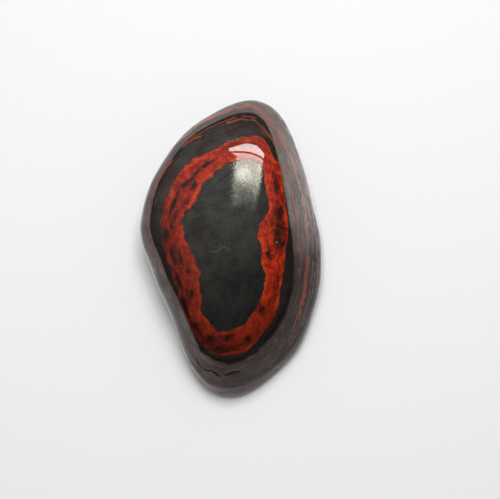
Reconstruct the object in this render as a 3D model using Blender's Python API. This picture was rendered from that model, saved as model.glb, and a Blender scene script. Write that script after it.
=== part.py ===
"""Mugglestone pebble: one polished piece of jasper and iron ore, lying on its flattened underside.

Metres, +Z up. The origin is under the middle of the stone, on the surface that it rests on.
+Y runs along the stone to its narrow end, and +X across it.

The stone is a ball whose points are moved onto three zones, from the summit down: a dome as far as the
girth, an undercut below it, and a small flat spot. Each zone is drawn round a centre line by radii.
"""

import bmesh
import bpy
import numpy as np

MM = 0.001

# Driving dimensions, in millimetres. A ring of values starts at +X and goes counter-clockwise in
# even steps, seen from above: 24 values are 15 degrees apart and 8 values are 45 degrees apart.
HEIGHT = 9.0
SUMMIT = complex(1.2, 0.1)  # the highest point lies a little to the right of the centre line
GIRTH_RADIUS = (
    8.7, 8.7, 9.1, 10.2, 12.1, 14.2, 13.6, 12.1, 10.8, 9.8, 9.2, 8.8,
    8.4, 7.9, 8.0, 8.5, 10.0, 12.7, 14.2, 13.2, 11.9, 10.6, 9.6, 9.0,
)
GIRTH_HEIGHT = (2.0, 2.5, 3.5, 4.5, 4.0, 3.0, 1.2, 1.2)  # above the resting surface
SPOT_SHARE = 0.42  # size of the flat spot, as a share of the girth

# How the dome bends. Fullness moves its bend outward from the summit, so a full side is a flat top
# with a quick shoulder. Roundness 1 ends in a rounded wall, and 0 in a straight slope with an edge.
FULLNESS = (-0.1, -0.1, -0.1, 0.8, 0.4, 0.8, 0.4, 0.3)
ROUNDNESS = (0.5, 0.5, 1.0, 1.0, 1.0, 0.8, 0.2, 0.2)

# Where the zones end on the ball, as shares of the way from the top pole to the bottom pole
DOME_END = 0.55
UNDERCUT_END = 0.80
BALL_SUBDIVISIONS = 5

STONE_COLOUR = (0.052, 0.020, 0.016, 1.0)
STONE_ROUGHNESS = 0.14
STONE_METALLIC = 0.15


def waves(values):
    """Fourier orders and coefficients of values that are evenly spaced round the stone."""
    count = len(values)
    orders = np.fft.fftfreq(count, 1 / count).astype(int)
    return list(zip(orders, np.fft.fft(values) / count))


def value_at(values, angle, outward=1.0):
    """A smooth value through the given ones at an angle. It fades to their mean towards outward 0."""
    total = 0
    for order, coefficient in waves(values):
        total = total + coefficient * outward ** abs(order) * np.exp(1j * order * angle)
    return np.real(total)


def girth_at(angle):
    """The point of the girth at an angle, seen from above, as a complex number."""
    return value_at(GIRTH_RADIUS, angle) * np.exp(1j * angle)


def ring_at(outward, angle):
    """A point seen from above, on the girth's ring drawn in from outward 1 to the summit at 0.

    Near the girth the rings shrink evenly, and further in they grow rounder.
    """
    point = SUMMIT
    for order, coefficient in waves(GIRTH_RADIUS):
        turns = abs(order + 1)
        if turns:
            share = outward ** turns * (1 + (turns - 1) * (1 - outward ** 2) / 2)
        else:
            coefficient = coefficient - SUMMIT
            share = 1.5 * outward ** 2 - 0.5 * outward ** 4
        point = point + coefficient * share * np.exp(1j * (order + 1) * angle)
    return point


def dome(share, angle):
    """Plan and height of the dome, from the summit (share 0) to the girth (share 1)."""
    outward = np.sin(np.pi / 2 * share)
    fullness = value_at(FULLNESS, angle, outward)
    roundness = value_at(ROUNDNESS, angle, outward)
    girth_height = value_at(GIRTH_HEIGHT, angle, outward)
    left = 1 - (1 - fullness) * outward ** 2 - fullness * outward ** 8
    left = np.clip(left, 0, 1)
    rise = (1 - roundness) * left + roundness * np.sqrt(left)
    return ring_at(outward, angle), girth_height + (HEIGHT - girth_height) * rise


def undercut(share, angle):
    """Plan and height of the undercut, from the girth (share 0) to the flat spot (share 1)."""
    turn = np.pi / 2 * share
    inwards = SPOT_SHARE + (1 - SPOT_SHARE) * np.cos(turn)
    return girth_at(angle) * inwards, value_at(GIRTH_HEIGHT, angle) * (1 - np.sin(turn))


def flat_spot(share, angle):
    """Plan and height of the flat spot, from its edge (share 0) to its middle (share 1)."""
    return girth_at(angle) * SPOT_SHARE * (1 - share), np.zeros_like(angle)


def stone_points(directions):
    """Points of the stone, in millimetres, for an array of unit directions of the ball."""
    angle = np.arctan2(directions[:, 1], directions[:, 0])
    way = np.arccos(np.clip(directions[:, 2], -1, 1)) / np.pi
    ends = (0.0, DOME_END, UNDERCUT_END, 1.0)
    points = np.zeros_like(directions)
    for zone, start, end in zip((dome, undercut, flat_spot), ends, ends[1:]):
        here = (way >= start) & (way <= end)
        plan, height = zone((way[here] - start) / (end - start), angle[here])
        points[here] = np.column_stack((plan.real, plan.imag, height))
    middle = (points.min(axis=0) + points.max(axis=0)) / 2
    points[:, :2] -= middle[:2]
    return points


def make_stone_material():
    """Polished stone, dark brown-black as a whole."""
    material = bpy.data.materials.new("polished_jasper_and_iron_ore")
    material.use_nodes = True
    shader = material.node_tree.nodes["Principled BSDF"]
    shader.inputs["Base Color"].default_value = STONE_COLOUR
    shader.inputs["Roughness"].default_value = STONE_ROUGHNESS
    shader.inputs["Metallic"].default_value = STONE_METALLIC
    material.diffuse_color = STONE_COLOUR
    return material


def make_stone():
    """The whole stone, as one object: a ball of even triangles with its points moved onto the form."""
    ball = bmesh.new()
    bmesh.ops.create_icosphere(ball, subdivisions=BALL_SUBDIVISIONS, radius=1.0)
    directions = np.array([vertex.co.normalized() for vertex in ball.verts], dtype=float)
    for vertex, point in zip(ball.verts, stone_points(directions)):
        vertex.co = point * MM
    bmesh.ops.recalc_face_normals(ball, faces=ball.faces)
    mesh = bpy.data.meshes.new("mugglestone")
    ball.to_mesh(mesh)
    ball.free()
    mesh.shade_smooth()
    mesh.materials.append(make_stone_material())
    return bpy.data.objects.new("mugglestone", mesh)


def main():
    for old in list(bpy.data.objects):
        bpy.data.objects.remove(old)
    collection = bpy.data.collections.new("mugglestone")
    bpy.context.scene.collection.children.link(collection)
    collection.objects.link(make_stone())


main()
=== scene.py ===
"""Mugglestone: the looks of a polished freeform pebble of banded red jasper and iron ore.

Metres, +Z up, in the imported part's frame: the origin is under the middle of the stone, on the surface
that it rests on. +Y runs along the stone to its narrow end, and +X across it.

The rock is a stack of nearly level beds, and the polished dome cuts down through them. So its markings
are drawn as closed lines of equal depth in the stack: 0 is the deepest colour of the dark island in the
middle, 1 its edge, 2 the outer edge of the red ring, and 3 to 6 the thin beds from there to the girth.
"""

import functools
import math

import bmesh
import bpy
import numpy as np
from bpy.props import FloatProperty, FloatVectorProperty, PointerProperty
from mathutils import Matrix, Vector


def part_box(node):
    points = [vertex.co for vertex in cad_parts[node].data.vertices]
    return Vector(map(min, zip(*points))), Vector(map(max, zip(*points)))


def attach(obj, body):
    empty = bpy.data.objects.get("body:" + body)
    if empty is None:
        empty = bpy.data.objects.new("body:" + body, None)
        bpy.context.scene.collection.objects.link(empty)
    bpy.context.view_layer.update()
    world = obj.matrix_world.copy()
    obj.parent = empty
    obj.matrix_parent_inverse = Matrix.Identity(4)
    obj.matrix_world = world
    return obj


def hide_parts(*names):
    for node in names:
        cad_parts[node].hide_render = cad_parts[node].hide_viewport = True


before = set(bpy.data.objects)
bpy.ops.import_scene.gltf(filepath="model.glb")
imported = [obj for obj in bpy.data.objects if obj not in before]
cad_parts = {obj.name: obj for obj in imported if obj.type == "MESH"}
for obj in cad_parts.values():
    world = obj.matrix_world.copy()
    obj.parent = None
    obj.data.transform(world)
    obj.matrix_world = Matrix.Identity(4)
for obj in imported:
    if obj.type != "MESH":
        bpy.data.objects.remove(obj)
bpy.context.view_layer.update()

bl_info = {
    "name": "Mugglestone",
    "version": (1, 0, 0),
    "blender": (4, 5, 0),
    "location": "View3D > Sidebar > Mugglestone",
    "description": "Makes a polished pebble of red jasper and iron ore, and a small studio for it",
    "category": "Add Mesh",
}

MM = 0.001

# The form, in millimetres, as the part has it. A ring of values starts at +X and goes counter-clockwise
# in even steps, seen from above.
HEIGHT = 9.0
SUMMIT = complex(1.2, 0.1)
GIRTH_RADIUS = (
    8.7, 8.7, 9.1, 10.2, 12.1, 14.2, 13.6, 12.1, 10.8, 9.8, 9.2, 8.8,
    8.4, 7.9, 8.0, 8.5, 10.0, 12.7, 14.2, 13.2, 11.9, 10.6, 9.6, 9.0,
)
GIRTH_HEIGHT = (2.0, 2.5, 3.5, 4.5, 4.0, 3.0, 1.2, 1.2)
SPOT_SHARE = 0.42
FULLNESS = (-0.1, -0.1, -0.1, 0.8, 0.4, 0.8, 0.4, 0.3)
ROUNDNESS = (0.5, 0.5, 1.0, 1.0, 1.0, 0.8, 0.2, 0.2)
DOME_END = 0.55
UNDERCUT_END = 0.80
SKIN_CUTS = 118  # cuts along each edge of the cube that the skin is blown up from: 169,932 triangles

# The photograph's frame and viewpoint
PHOTO_WIDTH = 500
PHOTO_HEIGHT = 499
PIXEL_MM = 0.094  # size of a pixel on the stone, in millimetres
CAMERA_DISTANCE = 150 * MM
CAMERA_TILT = math.radians(8)  # from straight above, towards the wide end
CAMERA_LENS = 110.7
CAMERA_SENSOR = 36.0
CAMERA_TARGET = Vector((1.804, 0.041, 0.0)) * MM
CAMERA_SEES = (10 * MM, 10.0)  # the nearest and the furthest that it shows

# The softbox, as the stone mirrors it. Its outline is drawn on a sheet that faces the stone from
# WINDOW_TOWARD, as sideways and upward shares of WINDOW_DISTANCE.
WINDOW_TOWARD = (20, 45)  # azimuth from +Y towards +X, and elevation, in degrees
WINDOW_DISTANCE = 0.8
WINDOW = (
    (-0.22, -0.03), (-0.04, -0.19), (0.15, -0.30), (0.34, -0.37), (0.06, 0.42), (-0.24, 0.56),
    (-0.135, 0.02), (-0.215, 0.02),
)
# The softbox dims in the direction of WINDOW_CLIMB, from its foot (0) to its head (1). The dark bar lies
# low down.
WINDOW_CLIMB = (0.58, 1.0, 0.0)
WINDOW_FOOT = -0.22
WINDOW_HEAD = 0.48
WINDOW_GLOW = (
    (0.0, 1.55), (0.146, 1.55), (0.152, 0.02), (0.178, 0.02), (0.184, 1.36), (0.24, 0.88), (0.46, 0.92),
    (0.54, 0.49), (0.62, 0.29), (0.74, 0.20), (0.85, 0.08), (1.0, 0.03),
)
WINDOW_MOTTLE = 0.05  # size of the uneven patches in the softbox's dim half, in metres
WINDOW_MOTTLE_DETAIL = 3.0
WINDOW_DIM_HALF = {1: 0.35, 2: 0.55}  # where the patches begin, and where they are full
WINDOW_UNEVEN = {1: 0.35, 2: 0.65, 3: 0.35, 4: 1.7}  # from a noise's low and high to a brightness
WINDOW_RADIANCE = 9.0

# The room: brighter towards one side, from the darkest direction (0) to the brightest (1)
BRIGHT_SIDE = Vector((-0.25, 0.85, 0.47)).normalized()
ROOM_GLOW = (
    (0.0, 0.03), (0.42, 0.06), (0.52, 0.09), (0.63, 0.13), (0.73, 0.24), (0.82, 0.38), (0.90, 0.50),
)
ROOM_LOW = 0.35  # how bright the room is at the horizon, as a share of what it is higher up
ROOM_LOW_RISE = (0.05, 0.5)  # between these heights of a direction's end the room brightens to its full
AMBIENT = 0.24  # even light from all round, for what isn't mirrored
BACKDROP = 0.9  # grey of what the camera sees past the floor

# A high square light that fills the shadow
FILL_TOWARD = (0, 73)  # as WINDOW_TOWARD
FILL_DISTANCE = 0.2
FILL_SIZE = 0.09
FILL_RADIANCE = 13.5

# What the stone mirrors of the floor is a painted reflection: a share of the floor's own colour, and a
# painted glow that is brighter on two sides than any white is. The glow goes round the stone from -X, by
# way of -Y, +X and +Y.
FLOOR_GAP = 0.01 * MM
FLOOR_ROUGHNESS = 0.5
FLOOR_IOR = 1.5
FLOOR_MIRRORED = 0.65
FLOOR_GLOW = (
    (0.0, 0.68), (0.125, 0.51), (0.21, 0.20), (0.26, 0.03), (0.375, 0.0), (0.49, 0.0), (0.56, 1.5),
    (0.62, 1.8), (0.75, 1.2), (0.875, 0.88), (1.0, 0.68),
)

# Lines of equal depth in the beds, read from the photograph in its pixels, x to the right and y down.
# Each goes once round BEDS_MIDDLE.
BEDS_MIDDLE = (230, 242)
ISLAND_EDGE = (
    (250, 158), (236, 160), (226, 166), (217, 171), (212, 177), (204, 182), (201, 191), (194, 204),
    (186, 214), (182, 221), (183, 228), (183, 236), (187, 244), (193, 252), (196, 258), (195, 265),
    (201, 272), (198, 281), (200, 288), (201, 299), (200, 310), (205, 317), (211, 326), (219, 331),
    (230, 330), (239, 327), (246, 323), (253, 312), (258, 303), (264, 287), (265, 272), (262, 265),
    (260, 256), (260, 244), (257, 239), (256, 234), (259, 224), (264, 218), (269, 210), (269, 204),
    (266, 193), (265, 180), (262, 165),
)
RING_EDGE = (
    (256, 136), (262, 138), (267, 144), (271, 151), (278, 162), (283, 179), (284, 190), (285, 205),
    (287, 214), (286, 241), (285, 249), (283, 263), (282, 278), (280, 291), (279, 305), (274, 317),
    (265, 330), (256, 342), (246, 351), (233, 355), (220, 355), (211, 352), (203, 345), (195, 335),
    (188, 323), (181, 308), (178, 292), (172, 274), (165, 253), (163, 244), (164, 230), (161, 225),
    (162, 212), (164, 200), (169, 191), (177, 176), (183, 168), (191, 161), (200, 156), (209, 152),
    (219, 147), (230, 142), (239, 138), (250, 137),
)
DASHED_BED = (
    (264, 129), (255, 119), (242, 117), (228, 121), (218, 125), (209, 129), (199, 135), (186, 141),
    (176, 152), (171, 159), (165, 166), (159, 177), (153, 190), (149, 205), (148, 225), (150, 240),
    (157, 260), (167, 285), (176, 308), (188, 335), (198, 350), (208, 360), (222, 366), (235, 366),
    (250, 361), (265, 352), (280, 338), (289, 320), (295, 300), (299, 275), (300, 250), (299, 235),
    (295, 205), (290, 180), (280, 155),
)
MAIN_BED = (
    (262, 113), (248, 105), (236, 107), (223, 112), (211, 117), (198, 124), (188, 133), (172, 146),
    (160, 162), (151, 181), (145, 200), (143, 225), (145, 242), (150, 257), (157, 275), (164, 292),
    (171, 309), (178, 327), (186, 344), (195, 358), (209, 370), (222, 376), (233, 374), (240, 371),
    (250, 368), (265, 360), (275, 353), (284, 343), (292, 332), (297, 319), (302, 300), (305, 280),
    (307, 266), (308, 250), (307, 228), (305, 212), (302, 193), (298, 180), (288, 151), (276, 129),
)
RIM_BED = (
    (268, 108), (256, 102), (246, 102), (236, 104), (222, 109), (210, 115), (198, 123), (187, 132),
    (170, 146), (158, 162), (149, 181), (143, 200), (141, 225), (143, 242), (148, 257), (155, 275),
    (162, 292), (168, 309), (175, 327), (183, 345), (190, 359), (198, 371), (207, 380), (220, 385),
    (235, 386), (250, 381), (262, 375), (272, 368), (284, 356), (294, 343), (303, 330), (310, 312),
    (315, 293), (317, 275), (317, 255), (316, 235), (313, 216), (310, 204), (305, 191), (294, 147),
    (280, 122),
)
# How far the beds' edges wander, in depth, from their least to their most
EDGE_WANDER = {"bay": 0.34, "fray": 0.22, "grit": 0.10}
THIN_WANDER = 0.6  # and the thin beds, as a share of that
# Streaks: length as a share of the setting for it, and how many of them fit into one step of depth
LONG_STREAKS = (1.0, 7.0)
SHORT_STREAKS = (0.45, 13.0)
STREAK_GRAIN = {"Detail": 4.0, "Roughness": 0.6}
STREAK_SIDE = (-5.0, -3.0, 0.0)  # how much streakier the ring gets towards -X and -Y, per metre
# Across the ring, from the island (0) to its outer edge (1): where it turns orange, and how streaky it is
RIM_SHARE = ((0.0, 0.5), (0.08, 0.8), (0.22, 0.05), (0.76, 0.05), (0.90, 0.7), (1.0, 0.4))
STREAK_SHARE = ((0.0, 0.0), (0.25, 0.10), (0.55, 0.20), (0.85, 0.22), (1.0, 0.14))
SHADE_TOWARD = (0.75, 0.85, 0.0)  # painted shade: the ring darkens against this way, towards the wide end, away from the light
# Inclusions are raised and broken up by the short streaks and the fray
BLOT_STREAKS = 1.4
BLOT_FRAY = 1.6
BLOT_LEVEL = -1.5
CLOUD_GRAIN = 0.5  # how much of the grains shows in the iron ore's clouds

# Where each cover starts (1) and is full (2), in the noise or distance that draws it, and how much of its
# colour shows at most (4). These numbers are the sockets of the node that draws the cover.
COVERS = {
    "in ring": {1: 0.96, 2: 1.04},
    "past ring": {1: 1.96, 2: 2.06},
    "ring outline": {1: 0.0, 2: 0.25, 4: 0.8},
    "light patches": {1: 0.38, 2: 0.66},
    "rim patches": {1: 0.82, 2: 1.2},
    "shade": {1: 1.5 * MM, 2: -5.5 * MM, 4: 0.6},
    "brown streaks": {1: 0.64, 2: 0.78, 4: 0.6},
    "brown blots": {1: 0.15, 2: 0.60, 4: 0.85},
    "dark streaks": {1: 0.74, 2: 0.90, 4: 0.9},
    "dark blots": {1: 0.45, 2: 1.0, 4: 0.9},
    "dark specks": {1: 1.08, 2: 1.24, 4: 0.8},
    "clouds": {1: 0.35, 2: 0.68},
    "echoes": {1: 0.52, 2: 0.62, 4: 0.35},
    "near ring": {1: 0.0, 2: 0.6},
    "brown ore": {1: 0.44, 2: 0.60, 4: 0.8},
    "rust": {1: 0.13 * MM, 2: 0.03 * MM, 4: 0.8},
    "throat": {1: 0.03 * MM, 2: -0.02 * MM},
    "scratch": {1: 0.10 * MM, 2: 0.02 * MM, 4: 0.35},
}
FRAYED_LIPS = 0.12 * MM  # how far the fray moves the lips of the fissure

# Thin beds: middle, half width, share of their length that isn't broken, the side on which they show
# best, and colour
THIN_BEDS = (
    (2.60, 0.03, 0.10, (0.6, 2.2), "bed"), (2.90, 0.05, 0.60, (0.6, 2.2), "bed"),
    (3.08, 0.05, 0.65, (0.6, 2.2), "bed"), (3.35, 0.04, 0.35, (0.2, 1.0), "rose"),
    (3.60, 0.05, 0.45, (0.6, 0.6), "plum"), (3.80, 0.04, 0.45, (1.2, 1.4), "rose"),
    (3.94, 0.10, 0.90, (1.8, 2.2), "bed"), (4.12, 0.07, 0.75, (1.8, 2.2), "bed"),
    (4.28, 0.04, 0.50, (1.8, 1.5), "rose"), (4.55, 0.07, 0.70, (1.0, 0.0), "plum"),
    (4.75, 0.04, 0.50, (1.6, 1.2), "rose"), (5.00, 0.07, 0.50, (0.8, 2.0), "rose"),
    (5.12, 0.05, 0.50, (1.6, 1.2), "rose"), (5.30, 0.07, 0.60, (1.0, 0.0), "plum"),
    (5.75, 0.40, 0.90, (0.0, 0.0), "plum"), (6.60, 0.10, 0.60, (0.0, 0.0), "rose"),
    (7.30, 0.06, 0.90, (0.0, 0.0), "bed"), (8.10, 0.08, 0.60, (0.0, 0.0), "rose"),
    (8.80, 0.05, 0.80, (0.0, 0.0), "rose"), (9.60, 0.10, 0.70, (0.0, 0.0), "bed"),
)
BED_STREAKS = 3.0  # how much the short streaks thicken a bed, in half widths
BED_CORE = 0.5  # share of a bed's half width that has its full colour
BED_SIDE = 14.0  # how fast a bed fades away from its side, per metre and in the noise that breaks it
BREAK_START = 0.72  # where a bed breaks up in that noise, and where it has gone
BREAK_END = 0.62
BREAK_COVER = 0.3  # how much lower both lie for a bed that is whole all along
BREAK_STEP = 10.0  # how far apart the beds' breaks lie in that noise, per step of depth
BREAK_DETAIL = 2.0

# The finish. A polish shows jasper as quartz, which is clear and glassy, and iron ore as a dull metal.
QUARTZ_IOR = 1.54
ORE_METALLIC = 0.9
PLUM_DULLNESS = 0.3  # how much less metallic the ore's plum beds are
METAL_GONE = 0.35  # cover of jasper at which nothing metallic is left
EDGE_GLOSS = 0.52  # how much of a metal's full gloss is left where the ore is seen edge on
JASPER_GLOSS = 0.85  # makes up for the jasper's share of that
BED_GLOSS = 0.30  # the thin beds and the fissure's lips
BED_DULL = 0.5  # cover of a thin bed at which it has no more gloss than that
ORE_ROUGHNESS = 0.07
JASPER_ROUGHNESS = 0.03
GRAIN_RELIEF = 0.003 * MM
THROAT_RELIEF = 12.0  # depth of the fissure's throat, in grains' relief

# Depths in the beds, away from the lines
ISLAND_SLOPE = 24  # pixels inside the island's edge, over which the depth falls from 1 to 0
THINNEST_BED = 1.0  # in pixels
OUTERMOST_BED = 5.0
ON_TOP = 6.0  # marks lie on the side that the photograph shows, above this depth
OFF_PHOTO = 1e6  # a pixel that no mark reaches
GIRTH_DEPTH = 5.6  # about what the girth has, and the same all round where the flat spot starts
UNDERCUT_DEPTH = 3.0  # how much deeper the beds go from the girth to the flat spot
SPOT_DEPTH = 1.2  # and from the flat spot's edge to its middle

# Dark inclusions in the red ring: x, y, length and width in pixels, and turn in degrees from x
INCLUSIONS = (
    (185, 184, 12, 5, 50), (174, 203, 27, 4, 70), (187, 202, 7, 4, 60), (194, 186, 9, 5, 60),
    (166, 234, 12, 8, 100), (173, 256, 24, 5, 110), (181, 260, 15, 4, 105), (178, 280, 24, 5, 108),
    (188, 271, 6, 5, 100), (191, 293, 11, 7, 110), (184, 303, 16, 9, 120), (197, 327, 14, 6, 130),
    (210, 340, 19, 9, 170), (227, 338, 16, 9, 5), (248, 339, 11, 8, 30), (220, 349, 20, 10, 168),
    (234, 349, 9, 5, 5), (200, 343, 8, 5, 140), (279, 214, 17, 9, 95), (279, 229, 18, 13, 95),
    (280, 243, 14, 9, 95), (269, 255, 12, 7, 115), (276, 185, 17, 5, 100), (262, 310, 10, 6, 105),
    (206, 165, 14, 4, 35), (197, 172, 13, 4, 45), (191, 180, 11, 4, 55), (186, 213, 9, 3, 70),
    (176, 215, 14, 4, 80), (171, 226, 11, 4, 90), (170, 268, 10, 4, 110), (186, 312, 12, 4, 115),
)
INCLUSION_FALL = 0.7  # how fast an inclusion thins out from its middle
# Small spots: x, y and radius in pixels, cover and colour
SPOTS = (
    (277, 242, 1.3, 0.3, "ivory"), (299, 319, 1.2, 0.3, "ivory"), (316, 261, 1.8, 0.8, "brown"),
    (175, 312, 1.6, 0.8, "brown"), (176, 209, 1.0, 0.2, "ivory"),
)

# Lines on the surface, in the photograph's pixels
FISSURE = ((194, 356), (200, 366), (207, 371), (212, 371), (220, 376))
SHORT_FISSURE = ((225, 375), (233, 372), (240, 371))
SCRATCH = ((209, 251), (216, 252), (221, 248), (225, 247), (229, 250))
FISSURE_DEPTH = 0.05  # in millimetres
FISSURE_WIDTH = 1.3  # half width, in pixels
LINE_TAPER = 1.5  # length of a line's tapered ends, in half widths
NEIGHBOURS = 4  # points of the skin between which a pixel is placed on it
NEIGHBOUR_BLUR = 0.01  # in pixels
FAR = 1.0  # further than any line lies from a point of the stone, in metres
# Soft relief at the wide end: the shoulder between the ring and the fissure, and a ridge above the outer
# wall, each as a line, its height in millimetres and its half width in pixels
SHOULDER = ((203, 348), (214, 357), (230, 361), (243, 358), (254, 349))
RIDGE = (
    (203, 380), (215, 386), (228, 387), (242, 384), (255, 377), (268, 370), (281, 362), (292, 353),
    (302, 340),
)
RELIEF = ((SHOULDER, 0.12, 6.0), (RIDGE, 0.06, 3.0))


def linear(code):
    """Linear colour of an sRGB hex code."""
    channels = [int(code[i:i + 2], 16) / 255 for i in (1, 3, 5)]
    return [c / 12.92 if c <= 0.04045 else ((c + 0.055) / 1.055) ** 2.4 for c in channels]


def colour_property(name, description, code):
    """A colour that a user may change, with an sRGB hex code as its default."""
    return FloatVectorProperty(
        name=name, description=description, subtype="COLOR", size=3, min=0, max=1, default=linear(code))


class MugglestoneLooks(bpy.types.PropertyGroup):
    """Colours and sizes of the rock's markings."""

    ore: colour_property("Iron ore", "Steely grey of the polished iron ore", "#474643")
    pale_ore: colour_property("Pale iron ore", "Lighter clouds in the iron ore", "#5d5d58")
    plum: colour_property("Plum beds", "Dull purple-brown of the faint beds", "#4a2c28")
    inclusion: colour_property("Inclusions", "Brown-black inclusions in the red ring", "#1c0a07")
    brown: colour_property("Brown haze", "Rusty brown round the inclusions", "#4d160c")
    bed: colour_property("Red beds", "Rusty red of the main thin beds", "#953518")
    # painted shade: the near-black red inside the fissure stands for the shade in the crack
    throat: colour_property("Fissure", "Dark red inside the fissure", "#1c0403")
    ivory: colour_property("Pale specks", "Ivory of the few pale specks", "#b3a595")
    scratch: colour_property("Scratch", "Pale line of a scratch in the polish", "#8d8d88")
    jasper: colour_property("Jasper", "Brick red of the jasper", "#841c0c")
    # painted shade: the jasper colour that the ring darkens to towards the wide end, away from the light
    dark_jasper: colour_property("Dark jasper", "Jasper towards the wide end", "#571a0e")
    bright_jasper: colour_property("Bright jasper", "Lighter patches in the jasper", "#bf3014")
    orange: colour_property("Orange rim", "Orange-red along the edges of the jasper", "#c84a17")
    rose: colour_property("Rose beds", "Dusty red of the thin beds near the girth", "#74302a")
    bay: FloatProperty(
        name="Bay size", description="Size of the bays along the edges of the beds",
        default=1.2 * MM, min=0.2 * MM, unit="LENGTH")
    fray: FloatProperty(
        name="Fray size", description="Size of the fine fray along the edges of the beds",
        default=0.35 * MM, min=0.1 * MM, unit="LENGTH")
    mottle: FloatProperty(
        name="Mottle size", description="Size of the lighter patches in the jasper",
        default=0.55 * MM, min=0.1 * MM, unit="LENGTH")
    cloud: FloatProperty(
        name="Cloud size", description="Size of the faint clouds in the iron ore",
        default=1.6 * MM, min=0.2 * MM, unit="LENGTH")
    grain: FloatProperty(
        name="Grain size", description="Size of the grains in the iron ore",
        default=0.16 * MM, min=0.05 * MM, unit="LENGTH")
    grit: FloatProperty(
        name="Grit size", description="Size of the finest grit along the edges of the beds",
        default=0.13 * MM, min=0.05 * MM, unit="LENGTH")
    dash: FloatProperty(
        name="Dash length", description="Length of the unbroken stretches of the thin beds",
        default=1.5 * MM, min=0.2 * MM, unit="LENGTH")
    streak: FloatProperty(
        name="Streak length", description="Length of the dark streaks along the beds",
        default=2.6 * MM, min=0.5 * MM, unit="LENGTH")


class MugglestoneStage(bpy.types.PropertyGroup):
    """The floor and the light round the stone."""

    floor: colour_property("Floor", "Pale smooth floor", "#f3f3f4")
    window: colour_property("Softbox", "Tint of the softbox", "#fffef9")
    floor_size: FloatProperty(
        name="Floor size", description="Length of the floor's sides", default=4.0, min=0.5, unit="LENGTH")
    light: FloatProperty(
        name="Light", description="Strength of the soft light", default=1.0, min=0.0, subtype="FACTOR",
        max=4.0)


def add(tree, kind, inputs=None, stops=None, **settings):
    """Adds one node. An input is a value, another node's output, or a node for its first live output."""
    node = tree.nodes.new(kind)
    for name, value in settings.items():
        setattr(node, name, value)
    for name, value in (inputs or {}).items():
        if isinstance(value, bpy.types.Node):
            value = next(output for output in value.outputs if output.enabled)
        if isinstance(value, bpy.types.NodeSocket):
            tree.links.new(value, node.inputs[name])
        else:
            node.inputs[name].default_value = value
    for number, (position, level) in enumerate(stops or ()):
        if number >= len(node.color_ramp.elements):
            node.color_ramp.elements.new(position)
        node.color_ramp.elements[number].position = position
        node.color_ramp.elements[number].color = (level, level, level, 1)
    return node


MATHS = "ShaderNodeMath"
VECTORS = "ShaderNodeVectorMath"
RANGE = "ShaderNodeMapRange"
RAMP = "ShaderNodeValToRGB"
BLEND = "ShaderNodeMix"
NOISE = "ShaderNodeTexNoise"
PLACE = "ShaderNodeTexCoord"
SOFT = {"interpolation_type": "SMOOTHSTEP"}
COLOUR = {"data_type": "RGBA"}

# Noises of the stone, by the setting that holds their size: how many finer layers, and how strong they are
GRAINS = {
    "bay": (1.0, 0.5), "fray": (3.0, 0.65), "grit": (1.0, 0.5), "mottle": (5.0, 0.7), "cloud": (6.0, 0.6),
    "grain": (1.0, 0.5),
}
MARKS = ("depth", "inclusion")  # numbers that the skin's points hold for the material
TINTS = (
    "ore", "pale_ore", "plum", "inclusion", "brown", "bed", "throat", "scratch", "ivory", "jasper",
    "dark_jasper", "bright_jasper", "orange", "rose",
)


def waves(values):
    """Fourier orders and coefficients of values that are evenly spaced round the stone."""
    count = len(values)
    orders = np.fft.fftfreq(count, 1 / count).astype(int)
    return list(zip(orders, np.fft.fft(values) / count))


def value_at(values, angle, outward=1.0):
    """A smooth value through the given ones at an angle. It fades to their mean towards outward 0."""
    total = 0
    for order, coefficient in waves(values):
        total = total + coefficient * outward ** abs(order) * np.exp(1j * order * angle)
    return np.real(total)


def girth_at(angle):
    """The point of the girth at an angle, seen from above, as a complex number."""
    return value_at(GIRTH_RADIUS, angle) * np.exp(1j * angle)


def ring_at(outward, angle):
    """A point seen from above, on the girth's ring drawn in from outward 1 to the summit at 0."""
    point = SUMMIT
    for order, coefficient in waves(GIRTH_RADIUS):
        turns = abs(order + 1)
        if turns:
            share = outward ** turns * (1 + (turns - 1) * (1 - outward ** 2) / 2)
        else:
            coefficient = coefficient - SUMMIT
            share = 1.5 * outward ** 2 - 0.5 * outward ** 4
        point = point + coefficient * share * np.exp(1j * (order + 1) * angle)
    return point


def dome(share, angle):
    """Plan and height of the dome, from the summit (share 0) to the girth (share 1)."""
    outward = np.sin(np.pi / 2 * share)
    fullness = value_at(FULLNESS, angle, outward)
    roundness = value_at(ROUNDNESS, angle, outward)
    girth_height = value_at(GIRTH_HEIGHT, angle, outward)
    left = 1 - (1 - fullness) * outward ** 2 - fullness * outward ** 8
    left = np.clip(left, 0, 1)
    rise = (1 - roundness) * left + roundness * np.sqrt(left)
    return ring_at(outward, angle), girth_height + (HEIGHT - girth_height) * rise


def undercut(share, angle):
    """Plan and height of the undercut, from the girth (share 0) to the flat spot (share 1)."""
    turn = np.pi / 2 * share
    inwards = SPOT_SHARE + (1 - SPOT_SHARE) * np.cos(turn)
    return girth_at(angle) * inwards, value_at(GIRTH_HEIGHT, angle) * (1 - np.sin(turn))


def flat_spot(share, angle):
    """Plan and height of the flat spot, from its edge (share 0) to its middle (share 1)."""
    return girth_at(angle) * SPOT_SHARE * (1 - share), np.zeros_like(angle)


def in_photo(points):
    """Where points of the stone, in millimetres, lie in the photograph: complex pixels, y upwards."""
    from_target = points * MM - np.array(CAMERA_TARGET)
    up = from_target[:, 1] * math.cos(CAMERA_TILT) + from_target[:, 2] * math.sin(CAMERA_TILT)
    nearer = from_target[:, 2] * math.cos(CAMERA_TILT) - from_target[:, 1] * math.sin(CAMERA_TILT)
    pixels = CAMERA_LENS / CAMERA_SENSOR * PHOTO_WIDTH / (CAMERA_DISTANCE - nearer)
    return PHOTO_WIDTH / 2 + pixels * from_target[:, 0] + 1j * (pixels * up - PHOTO_HEIGHT / 2)


def pixel(x, y):
    """A pixel of the photograph as in_photo gives it."""
    return complex(x, -y)


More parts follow.
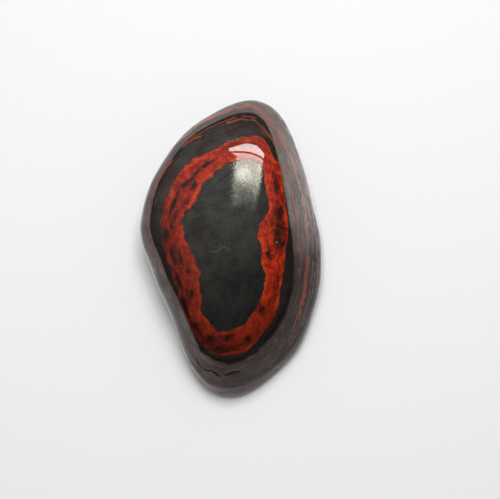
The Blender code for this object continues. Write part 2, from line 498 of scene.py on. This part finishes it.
def sorted_spokes(spokes):
    """Angles and lengths of complex spokes, by angle."""
    order = np.argsort(np.angle(spokes))
    return np.angle(spokes)[order], np.abs(spokes)[order]


def reach(line, angle):
    """Distance from BEDS_MIDDLE out to a closed line of pixels, at an angle."""
    spokes = np.array([pixel(x, y) for x, y in line]) - pixel(*BEDS_MIDDLE)
    return np.interp(angle, *sorted_spokes(spokes), period=2 * np.pi)


def dome_depth(points):
    """How deep in the beds the dome cuts at its points, in millimetres."""
    spokes = in_photo(points) - pixel(*BEDS_MIDDLE)
    inner = reach(ISLAND_EDGE, np.angle(spokes))
    depth = np.clip(1 - (inner - np.abs(spokes)) / ISLAND_SLOPE, 0, 1)
    for line in (RING_EDGE, DASHED_BED, MAIN_BED, RIM_BED, None):
        outer = reach(line, np.angle(spokes)) if line else inner + OUTERMOST_BED
        outer = np.maximum(outer, inner + THINNEST_BED)
        depth = depth + np.clip((np.abs(spokes) - inner) / (outer - inner), 0, 1)
        inner = outer
    return depth


def zone_points(zone, share, angle):
    """Points of one zone of the form, in millimetres round the centre line."""
    plan, height = zone(share, angle)
    return np.column_stack((plan.real, plan.imag, height))


def box_fit(points):
    """How to move and scale the skin by a hair, so that it fills the CAD node's box exactly."""
    low, high = (np.array(corner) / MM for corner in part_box("mugglestone"))
    skin_low = points.min(axis=0)
    scale = (high - low) / (points.max(axis=0) - skin_low)
    return lambda some: low + (some - skin_low) * scale


def stone_skin(directions):
    """Points in millimetres, and depths in the beds, for an array of unit directions of a ball."""
    angle = np.arctan2(directions[:, 1], directions[:, 0])
    way = np.arccos(np.clip(directions[:, 2], -1, 1)) / np.pi
    ends = (0.0, DOME_END, UNDERCUT_END, 1.0)
    points = np.zeros_like(directions)
    below = np.zeros(len(directions))
    for zone, start, end in zip((dome, undercut, flat_spot), ends, ends[1:]):
        here = (way >= start) & (way <= end)
        share = (way[here] - start) / (end - start)
        points[here] = zone_points(zone, share, angle[here])
        if zone is undercut:
            below[here] = UNDERCUT_DEPTH * share
        if zone is flat_spot:
            below[here] = UNDERCUT_DEPTH + SPOT_DEPTH * share
    girth = zone_points(dome, np.ones_like(angle), angle)
    to_box = box_fit(points)
    seen = np.where((way <= DOME_END)[:, None], points, girth)
    depth = dome_depth(to_box(seen))
    even = np.clip((way - DOME_END) / (UNDERCUT_END - DOME_END), 0, 1)
    return to_box(points), depth + even * (GIRTH_DEPTH - depth) + below


def line_distance(seen, line):
    """Distance in pixels from each point seen in the photograph to a line of pixels."""
    nearest = np.full(len(seen), np.inf)
    for start, end in zip(line, line[1:]):
        along = pixel(*end) - pixel(*start)
        share = np.real((seen - pixel(*start)) * np.conj(along)) / abs(along) ** 2
        nearest = np.minimum(nearest, np.abs(seen - pixel(*start) - np.clip(share, 0, 1) * along))
    return nearest


def line_cover(seen, line, half_width):
    """How much of a soft line covers each point seen in the photograph. It tapers at both ends."""
    ends = np.minimum(np.abs(seen - pixel(*line[0])), np.abs(seen - pixel(*line[-1])))
    taper = np.clip(ends / (LINE_TAPER * half_width), 0, 1)
    return np.exp(-(line_distance(seen, line) / half_width) ** 2) * taper


def on_skin(line, seen, points):
    """Where pixels of the photograph lie on the stone, in metres."""
    places = []
    for x, y in line:
        away = np.abs(seen - pixel(x, y))
        nearest = np.argpartition(away, NEIGHBOURS)[:NEIGHBOURS]
        shares = 1 / (away[nearest] + NEIGHBOUR_BLUR)
        places.append(Vector(shares @ points[nearest] / shares.sum()) * MM)
    return places


def inclusion_share(seen):
    """How much of a dark inclusion covers each point seen in the photograph, from 0 to 1."""
    cover = np.zeros(len(seen))
    for x, y, length, width, turn in INCLUSIONS:
        local = (seen - pixel(x, y)) * np.exp(-1j * math.radians(turn))
        away = (local.real / (length / 2)) ** 2 + (local.imag / (width / 2)) ** 2
        cover = np.maximum(cover, np.exp(-INCLUSION_FALL * away))
    return cover


def keep(mesh, name, values):
    """Stores one number for each point of a mesh, for its material to read."""
    attribute = mesh.attributes.new(name, "FLOAT", "POINT")
    attribute.data.foreach_set("value", values.astype(np.float32))


def line_away(tree, here, places):
    """Nodes for the distance to a line on the stone, in metres."""
    nearest = FAR
    for start, end in zip(places, places[1:]):
        along = end - start
        from_start = add(tree, VECTORS, {0: here, 1: start}, operation="SUBTRACT")
        share = add(tree, VECTORS, {0: from_start, 1: along / along.length_squared},
                    operation="DOT_PRODUCT")
        share = add(tree, "ShaderNodeClamp", {0: share})
        foot = add(tree, VECTORS, {0: along, "Scale": share}, operation="SCALE")
        away = add(tree, VECTORS, {0: from_start, 1: foot}, operation="DISTANCE")
        nearest = add(tree, MATHS, {0: away, 1: nearest}, operation="MINIMUM")
    return nearest


def stone_material(looks, places, spots):
    """Polished jasper and iron ore.

    Jasper is fine quartz coloured by iron: a clean glassy gloss over a solid brick red. Iron ore is
    steely: it sends back more light than glass does, and its own colour is nearly black.
    """
    material = bpy.data.materials.new("polished_jasper_and_iron_ore")
    material.use_nodes = True
    tree = material.node_tree
    shader = tree.nodes["Principled BSDF"]
    node = functools.partial(add, tree)
    here = node(PLACE).outputs["Object"]
    mark = {name: node("ShaderNodeAttribute", attribute_name=name).outputs["Fac"] for name in MARKS}
    tint = {name: (*getattr(looks, name), 1) for name in TINTS}
    noise = {
        name: node(NOISE, {
            "Vector": here, "Scale": 1 / getattr(looks, name), "Detail": detail, "Roughness": rough})
        for name, (detail, rough) in GRAINS.items()}

    # The beds' edges wander in bays, with a finer fray and grit on them
    wavy = mark["depth"]
    for name, most in EDGE_WANDER.items():
        moved = node(MATHS, {0: noise[name], 1: most, 2: -most / 2}, operation="MULTIPLY_ADD")
        wavy = node(MATHS, {0: wavy, 1: moved}, operation="ADD")
    shift = node(MATHS, {0: wavy, 1: mark["depth"]}, operation="SUBTRACT")
    thin_wavy = node(MATHS, {0: shift, 1: THIN_WANDER, 2: mark["depth"]}, operation="MULTIPLY_ADD")

    # Streaks run along the beds: the fourth coordinate makes them change fast with depth
    streaks = []
    for share, beds in (LONG_STREAKS, SHORT_STREAKS):
        length = looks.streak * share
        w = node(MATHS, {0: thin_wavy, 1: beds * length}, operation="MULTIPLY")
        streaks.append(node(NOISE, {
            "Vector": here, "W": w, "Scale": 1 / length, **STREAK_GRAIN}, noise_dimensions="4D"))
    long_streaks, short_streaks = streaks

    # Where the ring is, and where things show in it
    in_ring = node(RANGE, {0: wavy, **COVERS["in ring"]}, **SOFT)
    past_ring = node(RANGE, {0: wavy, **COVERS["past ring"]}, **SOFT)
    ring = node(MATHS, {0: in_ring, 1: past_ring}, operation="SUBTRACT", use_clamp=True)
    across = node(MATHS, {0: wavy, 1: 1.0}, operation="SUBTRACT")
    rim = node(RAMP, {0: across}, stops=RIM_SHARE)
    streaky = node(RAMP, {0: across}, stops=STREAK_SHARE)
    light_patches = node(RANGE, {0: noise["mottle"], **COVERS["light patches"]}, **SOFT)
    rim_patches = node(MATHS, {0: noise["mottle"], 1: noise["bay"]}, operation="ADD")
    rim_patches = node(RANGE, {0: rim_patches, **COVERS["rim patches"]}, **SOFT)
    orange = node(MATHS, {0: rim, 1: rim_patches}, operation="MULTIPLY")
    # Painted shade: the jasper darkens towards the wide end, away from the light
    along = node(VECTORS, {0: here, 1: SHADE_TOWARD}, operation="DOT_PRODUCT")
    shade = node(RANGE, {0: along, **COVERS["shade"]}, **SOFT)
    streaky_side = node(VECTORS, {0: here, 1: STREAK_SIDE}, operation="DOT_PRODUCT")
    streaks_here = node(MATHS, {0: long_streaks, 1: streaky}, operation="ADD")
    streaks_here = node(MATHS, {0: streaks_here, 1: streaky_side}, operation="ADD")
    broken = node(MATHS, {0: short_streaks, 1: BLOT_STREAKS, 2: BLOT_LEVEL}, operation="MULTIPLY_ADD")
    broken = node(MATHS, {0: noise["fray"], 1: BLOT_FRAY, 2: broken}, operation="MULTIPLY_ADD")
    blots = node(MATHS, {0: mark["inclusion"], 1: broken}, operation="ADD")
    specks = node(MATHS, {0: noise["grit"], 1: short_streaks}, operation="ADD")
    brown = node(RANGE, {0: streaks_here, **COVERS["brown streaks"]}, **SOFT)
    brown_blots = node(RANGE, {0: blots, **COVERS["brown blots"]}, **SOFT)
    dark = node(RANGE, {0: streaks_here, **COVERS["dark streaks"]}, **SOFT)
    dark_blots = node(RANGE, {0: blots, **COVERS["dark blots"]}, **SOFT)
    dark_specks = node(RANGE, {0: specks, **COVERS["dark specks"]}, **SOFT)

    # The ring: mottled brick red, orange in patches along both edges, with painted shade towards the wide
    # end, and dark streaks and inclusions
    red = tint["jasper"]
    for cover, name in (
            (light_patches, "bright_jasper"), (orange, "orange"), (shade, "dark_jasper"), (brown, "brown"),
            (brown_blots, "brown"), (dark_specks, "brown"), (dark, "inclusion"), (dark_blots, "inclusion")):
        red = node(BLEND, {0: cover, 6: red, 7: tint[name]}, **COLOUR)

    # Iron ore: faintly clouded and gritty, browner outside the ring, with plum echoes of the ring inside it
    clouds = node(MATHS, {0: noise["grain"], 1: CLOUD_GRAIN, 2: -CLOUD_GRAIN / 2}, operation="MULTIPLY_ADD")
    clouds = node(MATHS, {0: noise["cloud"], 1: clouds}, operation="ADD")
    clouds = node(RANGE, {0: clouds, **COVERS["clouds"]}, **SOFT)
    echoes = node(RANGE, {0: long_streaks, **COVERS["echoes"]}, **SOFT)
    near_ring = node(RANGE, {0: mark["depth"], **COVERS["near ring"]}, **SOFT)
    echoes = node(MATHS, {0: echoes, 1: near_ring}, operation="MULTIPLY")
    brown_ore = node(RANGE, {0: long_streaks, **COVERS["brown ore"]}, **SOFT)
    brown_ore = node(MATHS, {0: brown_ore, 1: past_ring}, operation="MULTIPLY")
    colour = tint["ore"]
    for cover, name in ((clouds, "pale_ore"), (echoes, "plum"), (brown_ore, "plum")):
        colour = node(BLEND, {0: cover, 6: colour, 7: tint[name]}, **COLOUR)
    colour = node(BLEND, {0: ring, 6: colour, 7: red}, **COLOUR)

    # The ring has a dark outline, where its cover is neither whole nor gone
    no_ring = node(MATHS, {0: 1.0, 1: ring}, operation="SUBTRACT")
    outline = node(MATHS, {0: ring, 1: no_ring}, operation="MULTIPLY")
    outline = node(RANGE, {0: outline, **COVERS["ring outline"]})
    colour = node(BLEND, {0: outline, 6: colour, 7: tint["inclusion"]}, **COLOUR)

    # Thin red beds outside the ring, broken here and there
    beds = 0.0
    for middle, half_width, cover, best_side, name in THIN_BEDS:
        away = node(MATHS, {0: thin_wavy, 1: middle}, operation="SUBTRACT")
        away = node(MATHS, {0: away}, operation="ABSOLUTE")
        away = node(MATHS, {0: short_streaks, 1: -BED_STREAKS * half_width, 2: away},
                    operation="MULTIPLY_ADD")
        bed = node(RANGE, {0: away, 1: -BED_CORE * half_width, 2: -half_width}, **SOFT)
        breaks = node(NOISE, {
            "Vector": here, "W": BREAK_STEP * middle, "Scale": 1 / looks.dash, "Detail": BREAK_DETAIL},
            noise_dimensions="4D")
        side = node(VECTORS, {0: here, 1: (*best_side, 0)}, operation="DOT_PRODUCT")
        side = node(MATHS, {0: side, 1: 0.0}, operation="MINIMUM")
        breaks = node(MATHS, {0: side, 1: BED_SIDE, 2: breaks}, operation="MULTIPLY_ADD")
        lower = BREAK_COVER * cover
        whole = node(RANGE, {0: breaks, 1: BREAK_END - lower, 2: BREAK_START - lower}, **SOFT)
        bed = node(MATHS, {0: bed, 1: whole}, operation="MULTIPLY")
        colour = node(BLEND, {0: bed, 6: colour, 7: tint[name]}, **COLOUR)
        beds = node(MATHS, {0: bed, 1: beds}, operation="MAXIMUM")

    # The fissures are painted dark red inside, as painted shade in the crack, with rusty lips. There is one
    # pale scratch, and a few spots.
    fissure = node(MATHS, {
        0: line_away(tree, here, places[FISSURE]), 1: line_away(tree, here, places[SHORT_FISSURE])},
        operation="MINIMUM")
    ragged = node(MATHS, {0: noise["fray"], 1: -FRAYED_LIPS, 2: fissure}, operation="MULTIPLY_ADD")
    scratch = line_away(tree, here, places[SCRATCH])
    rust = node(RANGE, {0: ragged, **COVERS["rust"]}, **SOFT)
    throat = node(RANGE, {0: ragged, **COVERS["throat"]}, **SOFT)
    pale_line = node(RANGE, {0: scratch, **COVERS["scratch"]}, **SOFT)
    layers = [(rust, "brown"), (throat, "throat"), (pale_line, "scratch")]
    for place, (_, _, radius, most, name) in zip(spots, SPOTS):
        away = node(VECTORS, {0: here, 1: place}, operation="DISTANCE")
        size = radius * PIXEL_MM * MM
        spot = node(RANGE, {0: away, 1: size, 2: size / 2, 4: most}, **SOFT)
        layers.append((spot, name))
    for cover, name in layers:
        colour = node(BLEND, {0: cover, 6: colour, 7: tint[name]}, **COLOUR)

    # Only the ore is steely, and its plum beds less so
    dull = node(MATHS, {0: beds, 1: rust}, operation="MAXIMUM")
    jasper = node(MATHS, {0: dull, 1: ring}, operation="MAXIMUM")
    metallic = node(RANGE, {0: jasper, 1: 0.0, 2: METAL_GONE, 3: ORE_METALLIC, 4: 0.0}, **SOFT)
    metallic = node(MATHS, {0: brown_ore, 1: -PLUM_DULLNESS, 2: metallic}, operation="MULTIPLY_ADD",
                    use_clamp=True)

    # The jasper takes the finer polish. The thin beds are softer and duller, and a fissure sends nothing
    # back. The ore's grains stand out by a few thousandths of a millimetre.
    roughness = node(MATHS, {0: jasper, 1: JASPER_ROUGHNESS - ORE_ROUGHNESS, 2: ORE_ROUGHNESS},
                     operation="MULTIPLY_ADD")
    unbroken = node(MATHS, {0: 1.0, 1: throat}, operation="SUBTRACT")
    gloss = node(RANGE, {0: dull, 1: 0.0, 2: BED_DULL, 3: JASPER_GLOSS, 4: BED_GLOSS})
    gloss = node(MATHS, {0: gloss, 1: unbroken}, operation="MULTIPLY")
    grains = node(MATHS, {0: noise["grain"], 1: noise["fray"]}, operation="ADD")
    no_jasper = node(MATHS, {0: 1.0, 1: jasper}, operation="SUBTRACT")
    height = node(MATHS, {0: grains, 1: no_jasper}, operation="MULTIPLY")
    height = node(MATHS, {0: throat, 1: -THROAT_RELIEF, 2: height}, operation="MULTIPLY_ADD")
    relief = node("ShaderNodeBump", {"Height": height, "Distance": GRAIN_RELIEF, "Strength": 1.0})
    links = {
        "Base Color": colour.outputs[2], "Metallic": metallic.outputs[0],
        "Roughness": roughness.outputs[0], "Specular IOR Level": gloss.outputs[0],
        "Normal": relief.outputs[0],
    }
    for name, output in links.items():
        tree.links.new(output, shader.inputs[name])
    shader.inputs["IOR"].default_value = QUARTZ_IOR
    shader.inputs["Specular IOR Level"].default_value = JASPER_GLOSS  # where that link is dropped
    shader.inputs["Specular Tint"].default_value = (EDGE_GLOSS, EDGE_GLOSS, EDGE_GLOSS, 1)
    return material


class MUGGLESTONE_OT_stone(bpy.types.Operator):
    """Makes the stone, from a cube blown up to a ball and laid onto the form."""

    bl_idname = "mugglestone.stone"
    bl_label = "Stone"

    def execute(self, context):
        looks = context.scene.mugglestone_looks
        ball = bmesh.new()
        bmesh.ops.create_cube(ball, size=2.0)
        bmesh.ops.subdivide_edges(ball, edges=ball.edges, cuts=SKIN_CUTS, use_grid_fill=True)
        mesh = bpy.data.meshes.new("polished_stone")
        ball.to_mesh(mesh)
        ball.free()
        corners = np.empty(len(mesh.vertices) * 3)
        mesh.vertices.foreach_get("co", corners)
        directions = np.tan(corners.reshape(-1, 3) * np.pi / 4)
        directions /= np.linalg.norm(directions, axis=1, keepdims=True)
        points, depth = stone_skin(directions)
        mesh.vertices.foreach_set("co", (points * MM).ravel())
        mesh.update()
        seen = np.where(depth < ON_TOP, in_photo(points), OFF_PHOTO)
        keep(mesh, "depth", depth)
        keep(mesh, "inclusion", inclusion_share(seen))
        normals = np.empty(len(points) * 3)
        mesh.vertex_normals.foreach_get("vector", normals)
        rise = sum(height * line_cover(seen, line, half_width) for line, height, half_width in RELIEF)
        for line in (FISSURE, SHORT_FISSURE):
            rise = rise - FISSURE_DEPTH * line_cover(seen, line, FISSURE_WIDTH)
        points = points + normals.reshape(-1, 3) * rise[:, None]
        mesh.vertices.foreach_set("co", (points * MM).ravel())
        mesh.update()
        mesh.shade_smooth()
        places = {line: on_skin(line, seen, points) for line in (FISSURE, SHORT_FISSURE, SCRATCH)}
        spots = on_skin([spot[:2] for spot in SPOTS], seen, points)
        mesh.materials.append(stone_material(looks, places, spots))
        stone = bpy.data.objects.new("polished_stone", mesh)
        context.collection.objects.link(stone)
        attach(stone, "root")
        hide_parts("mugglestone")
        return {"FINISHED"}


def toward(azimuth, elevation):
    """Unit vector to a compass direction: azimuth 0 is +Y and 90 is +X, both in degrees."""
    turn = math.radians(azimuth)
    rise = math.radians(elevation)
    return Vector((math.sin(turn) * math.cos(rise), math.cos(turn) * math.cos(rise), math.sin(rise)))


def stood_off(azimuth, elevation, distance, axis):
    """Placement at a distance from the stone, with an axis turned straight away from it."""
    place = toward(azimuth, elevation) * distance
    return Matrix.Translation(place) @ place.to_track_quat(axis, "Y").to_matrix().to_4x4()


class MUGGLESTONE_OT_stage(bpy.types.Operator):
    """Makes the floor, the lights, the surroundings and the camera."""

    bl_idname = "mugglestone.stage"
    bl_label = "Floor, light and camera"

    def execute(self, context):
        stage = context.scene.mugglestone_stage
        self.make_floor(context, stage)
        self.make_window(context, stage)
        self.make_fill(context, stage)
        self.make_surroundings(context)
        self.make_camera(context)
        context.scene.view_settings.view_transform = "Standard"
        return {"FINISHED"}

    def make_floor(self, context, stage):
        """A wide floor just under the stone.

        It is smooth white board, which looks flat and pale with a faint sheen. What the polished stone
        shows of it is a painted reflection: a copy of its colour dimmed by FLOOR_MIRRORED, and a painted
        glow from FLOOR_GLOW.
        """
        bpy.ops.mesh.primitive_plane_add(size=stage.floor_size, location=(0, 0, -FLOOR_GAP))
        floor = context.object
        floor.name = "floor"
        material = bpy.data.materials.new("white_board_with_painted_glow")
        material.use_nodes = True
        tree = material.node_tree
        shader = tree.nodes["Principled BSDF"]
        shader.inputs["Roughness"].default_value = FLOOR_ROUGHNESS
        shader.inputs["IOR"].default_value = FLOOR_IOR
        here = add(tree, PLACE).outputs["Object"]
        # Painted reflection: for glossy rays only, the floor is dimmed to FLOOR_MIRRORED of its colour and
        # glows round the stone by FLOOR_GLOW
        mirrored = add(tree, "ShaderNodeLightPath").outputs["Is Glossy Ray"]
        round_stone = add(tree, "ShaderNodeTexGradient", {0: here}, gradient_type="RADIAL").outputs["Fac"]
        glow = add(tree, RAMP, {0: round_stone}, stops=FLOOR_GLOW)
        dim = [FLOOR_MIRRORED * value for value in stage.floor]
        colour = add(tree, BLEND, {0: mirrored, 6: (*stage.floor, 1), 7: (*dim, 1)}, **COLOUR)
        tree.links.new(colour.outputs[2], shader.inputs["Base Color"])
        tree.links.new(glow.outputs[0], shader.inputs["Emission Color"])
        tree.links.new(mirrored, shader.inputs["Emission Strength"])
        floor.data.materials.append(material)

    def make_window(self, context, stage):
        """The softbox beyond the narrow end: a sheet with a dark bar low down, dimmer towards its top.

        It is a lit diffuser, which glows evenly where it is bright and in soft patches where it is dim.
        """
        outline = bmesh.new()
        corners = [outline.verts.new((x * WINDOW_DISTANCE, y * WINDOW_DISTANCE, 0)) for x, y in WINDOW]
        outline.faces.new(corners)
        mesh = bpy.data.meshes.new("window")
        outline.to_mesh(mesh)
        outline.free()
        window = bpy.data.objects.new("window", mesh)
        window.matrix_world = stood_off(*WINDOW_TOWARD, WINDOW_DISTANCE, "-Z")
        window.visible_camera = False
        window.visible_diffuse = False
        context.collection.objects.link(window)
        material = bpy.data.materials.new("lit_diffuser")
        material.use_nodes = True
        tree = material.node_tree
        tree.nodes.remove(tree.nodes["Principled BSDF"])
        here = add(tree, PLACE).outputs["Object"]
        climb = add(tree, VECTORS, {0: here, 1: WINDOW_CLIMB}, operation="DOT_PRODUCT")
        share = add(tree, RANGE, {
            0: climb, 1: WINDOW_FOOT * WINDOW_DISTANCE, 2: WINDOW_HEAD * WINDOW_DISTANCE})
        glow = add(tree, RAMP, {0: share}, stops=WINDOW_GLOW)
        patches = add(tree, NOISE, {
            "Vector": here, "Scale": 1 / WINDOW_MOTTLE, "Detail": WINDOW_MOTTLE_DETAIL})
        dim_half = add(tree, RANGE, {0: share, **WINDOW_DIM_HALF})
        uneven = add(tree, RANGE, {0: patches, **WINDOW_UNEVEN})
        level = add(tree, BLEND, {0: dim_half, 2: 1.0, 3: uneven}, data_type="FLOAT")
        strength = add(tree, MATHS, {0: level, 1: glow}, operation="MULTIPLY")
        strength = add(tree, MATHS, {0: strength, 1: WINDOW_RADIANCE * stage.light}, operation="MULTIPLY")
        light = add(tree, "ShaderNodeEmission", {"Color": (*stage.window, 1), "Strength": strength})
        tree.links.new(light.outputs[0], tree.nodes["Material Output"].inputs["Surface"])
        mesh.materials.append(material)

    def make_fill(self, context, stage):
        """A high square light that no gloss shows."""
        light = bpy.data.lights.new("fill", "AREA")
        light.shape = "SQUARE"
        light.size = FILL_SIZE
        light.energy = FILL_RADIANCE * stage.light * math.pi * FILL_SIZE ** 2
        lamp = bpy.data.objects.new("fill", light)
        lamp.matrix_world = stood_off(*FILL_TOWARD, FILL_DISTANCE, "Z")
        lamp.visible_glossy = False
        lamp.visible_camera = False
        context.collection.objects.link(lamp)

    def make_surroundings(self, context):
        """A room that is brighter on one side for the gloss, even light for the rest, and a backdrop."""
        world = bpy.data.worlds.new("studio")
        world.use_nodes = True
        context.scene.world = world
        tree = world.node_tree
        direction = add(tree, PLACE).outputs["Generated"]
        side = add(tree, VECTORS, {0: direction, 1: BRIGHT_SIDE}, operation="DOT_PRODUCT")
        share = add(tree, RANGE, {0: side, 1: -1.0, 2: 1.0})
        room = add(tree, RAMP, {0: share}, stops=ROOM_GLOW)
        height = add(tree, "ShaderNodeSeparateXYZ", {0: direction}).outputs["Z"]
        low, high = ROOM_LOW_RISE
        rise = add(tree, RANGE, {0: height, 1: low, 2: high, 3: ROOM_LOW, 4: 1.0})
        room = add(tree, VECTORS, {0: room, "Scale": rise}, operation="SCALE")
        ray = add(tree, "ShaderNodeLightPath").outputs
        even = (AMBIENT, AMBIENT, AMBIENT, 1)
        colour = add(tree, BLEND, {0: ray["Is Glossy Ray"], 6: even, 7: room}, **COLOUR)
        pale = (BACKDROP, BACKDROP, BACKDROP, 1)
        colour = add(tree, BLEND, {0: ray["Is Camera Ray"], 6: colour, 7: pale}, **COLOUR)
        tree.links.new(colour.outputs[2], tree.nodes["Background"].inputs["Color"])

    def make_camera(self, context):
        """The camera at the photograph's distance and angle."""
        camera = bpy.data.objects.new("camera", bpy.data.cameras.new("camera"))
        camera.data.lens = CAMERA_LENS
        camera.data.clip_start, camera.data.clip_end = CAMERA_SEES
        back = Vector((0, -math.sin(CAMERA_TILT), math.cos(CAMERA_TILT)))
        camera.location = CAMERA_TARGET + back * CAMERA_DISTANCE
        camera.rotation_euler = (CAMERA_TILT, 0, 0)
        context.collection.objects.link(camera)
        context.scene.camera = camera


class MUGGLESTONE_PT_panel(bpy.types.Panel):
    """Lists the pieces and their settings in the sidebar."""

    bl_idname = "MUGGLESTONE_PT_panel"
    bl_label = "Mugglestone"
    bl_space_type = "VIEW_3D"
    bl_region_type = "UI"
    bl_category = "Mugglestone"

    def draw(self, context):
        for group in (context.scene.mugglestone_looks, context.scene.mugglestone_stage):
            box = self.layout.box()
            for name in group.__annotations__:
                box.prop(group, name)
        self.layout.operator("mugglestone.stone")
        self.layout.operator("mugglestone.stage")


CLASSES = (
    MugglestoneLooks, MugglestoneStage, MUGGLESTONE_OT_stone, MUGGLESTONE_OT_stage, MUGGLESTONE_PT_panel,
)


def register():
    for cls in CLASSES:
        bpy.utils.register_class(cls)
    bpy.types.Scene.mugglestone_looks = PointerProperty(type=MugglestoneLooks)
    bpy.types.Scene.mugglestone_stage = PointerProperty(type=MugglestoneStage)


def unregister():
    del bpy.types.Scene.mugglestone_stage
    del bpy.types.Scene.mugglestone_looks
    for cls in reversed(CLASSES):
        bpy.utils.unregister_class(cls)


def main():
    register()
    bpy.ops.mugglestone.stone()
    bpy.ops.mugglestone.stage()


if __name__ == "__main__":
    main()
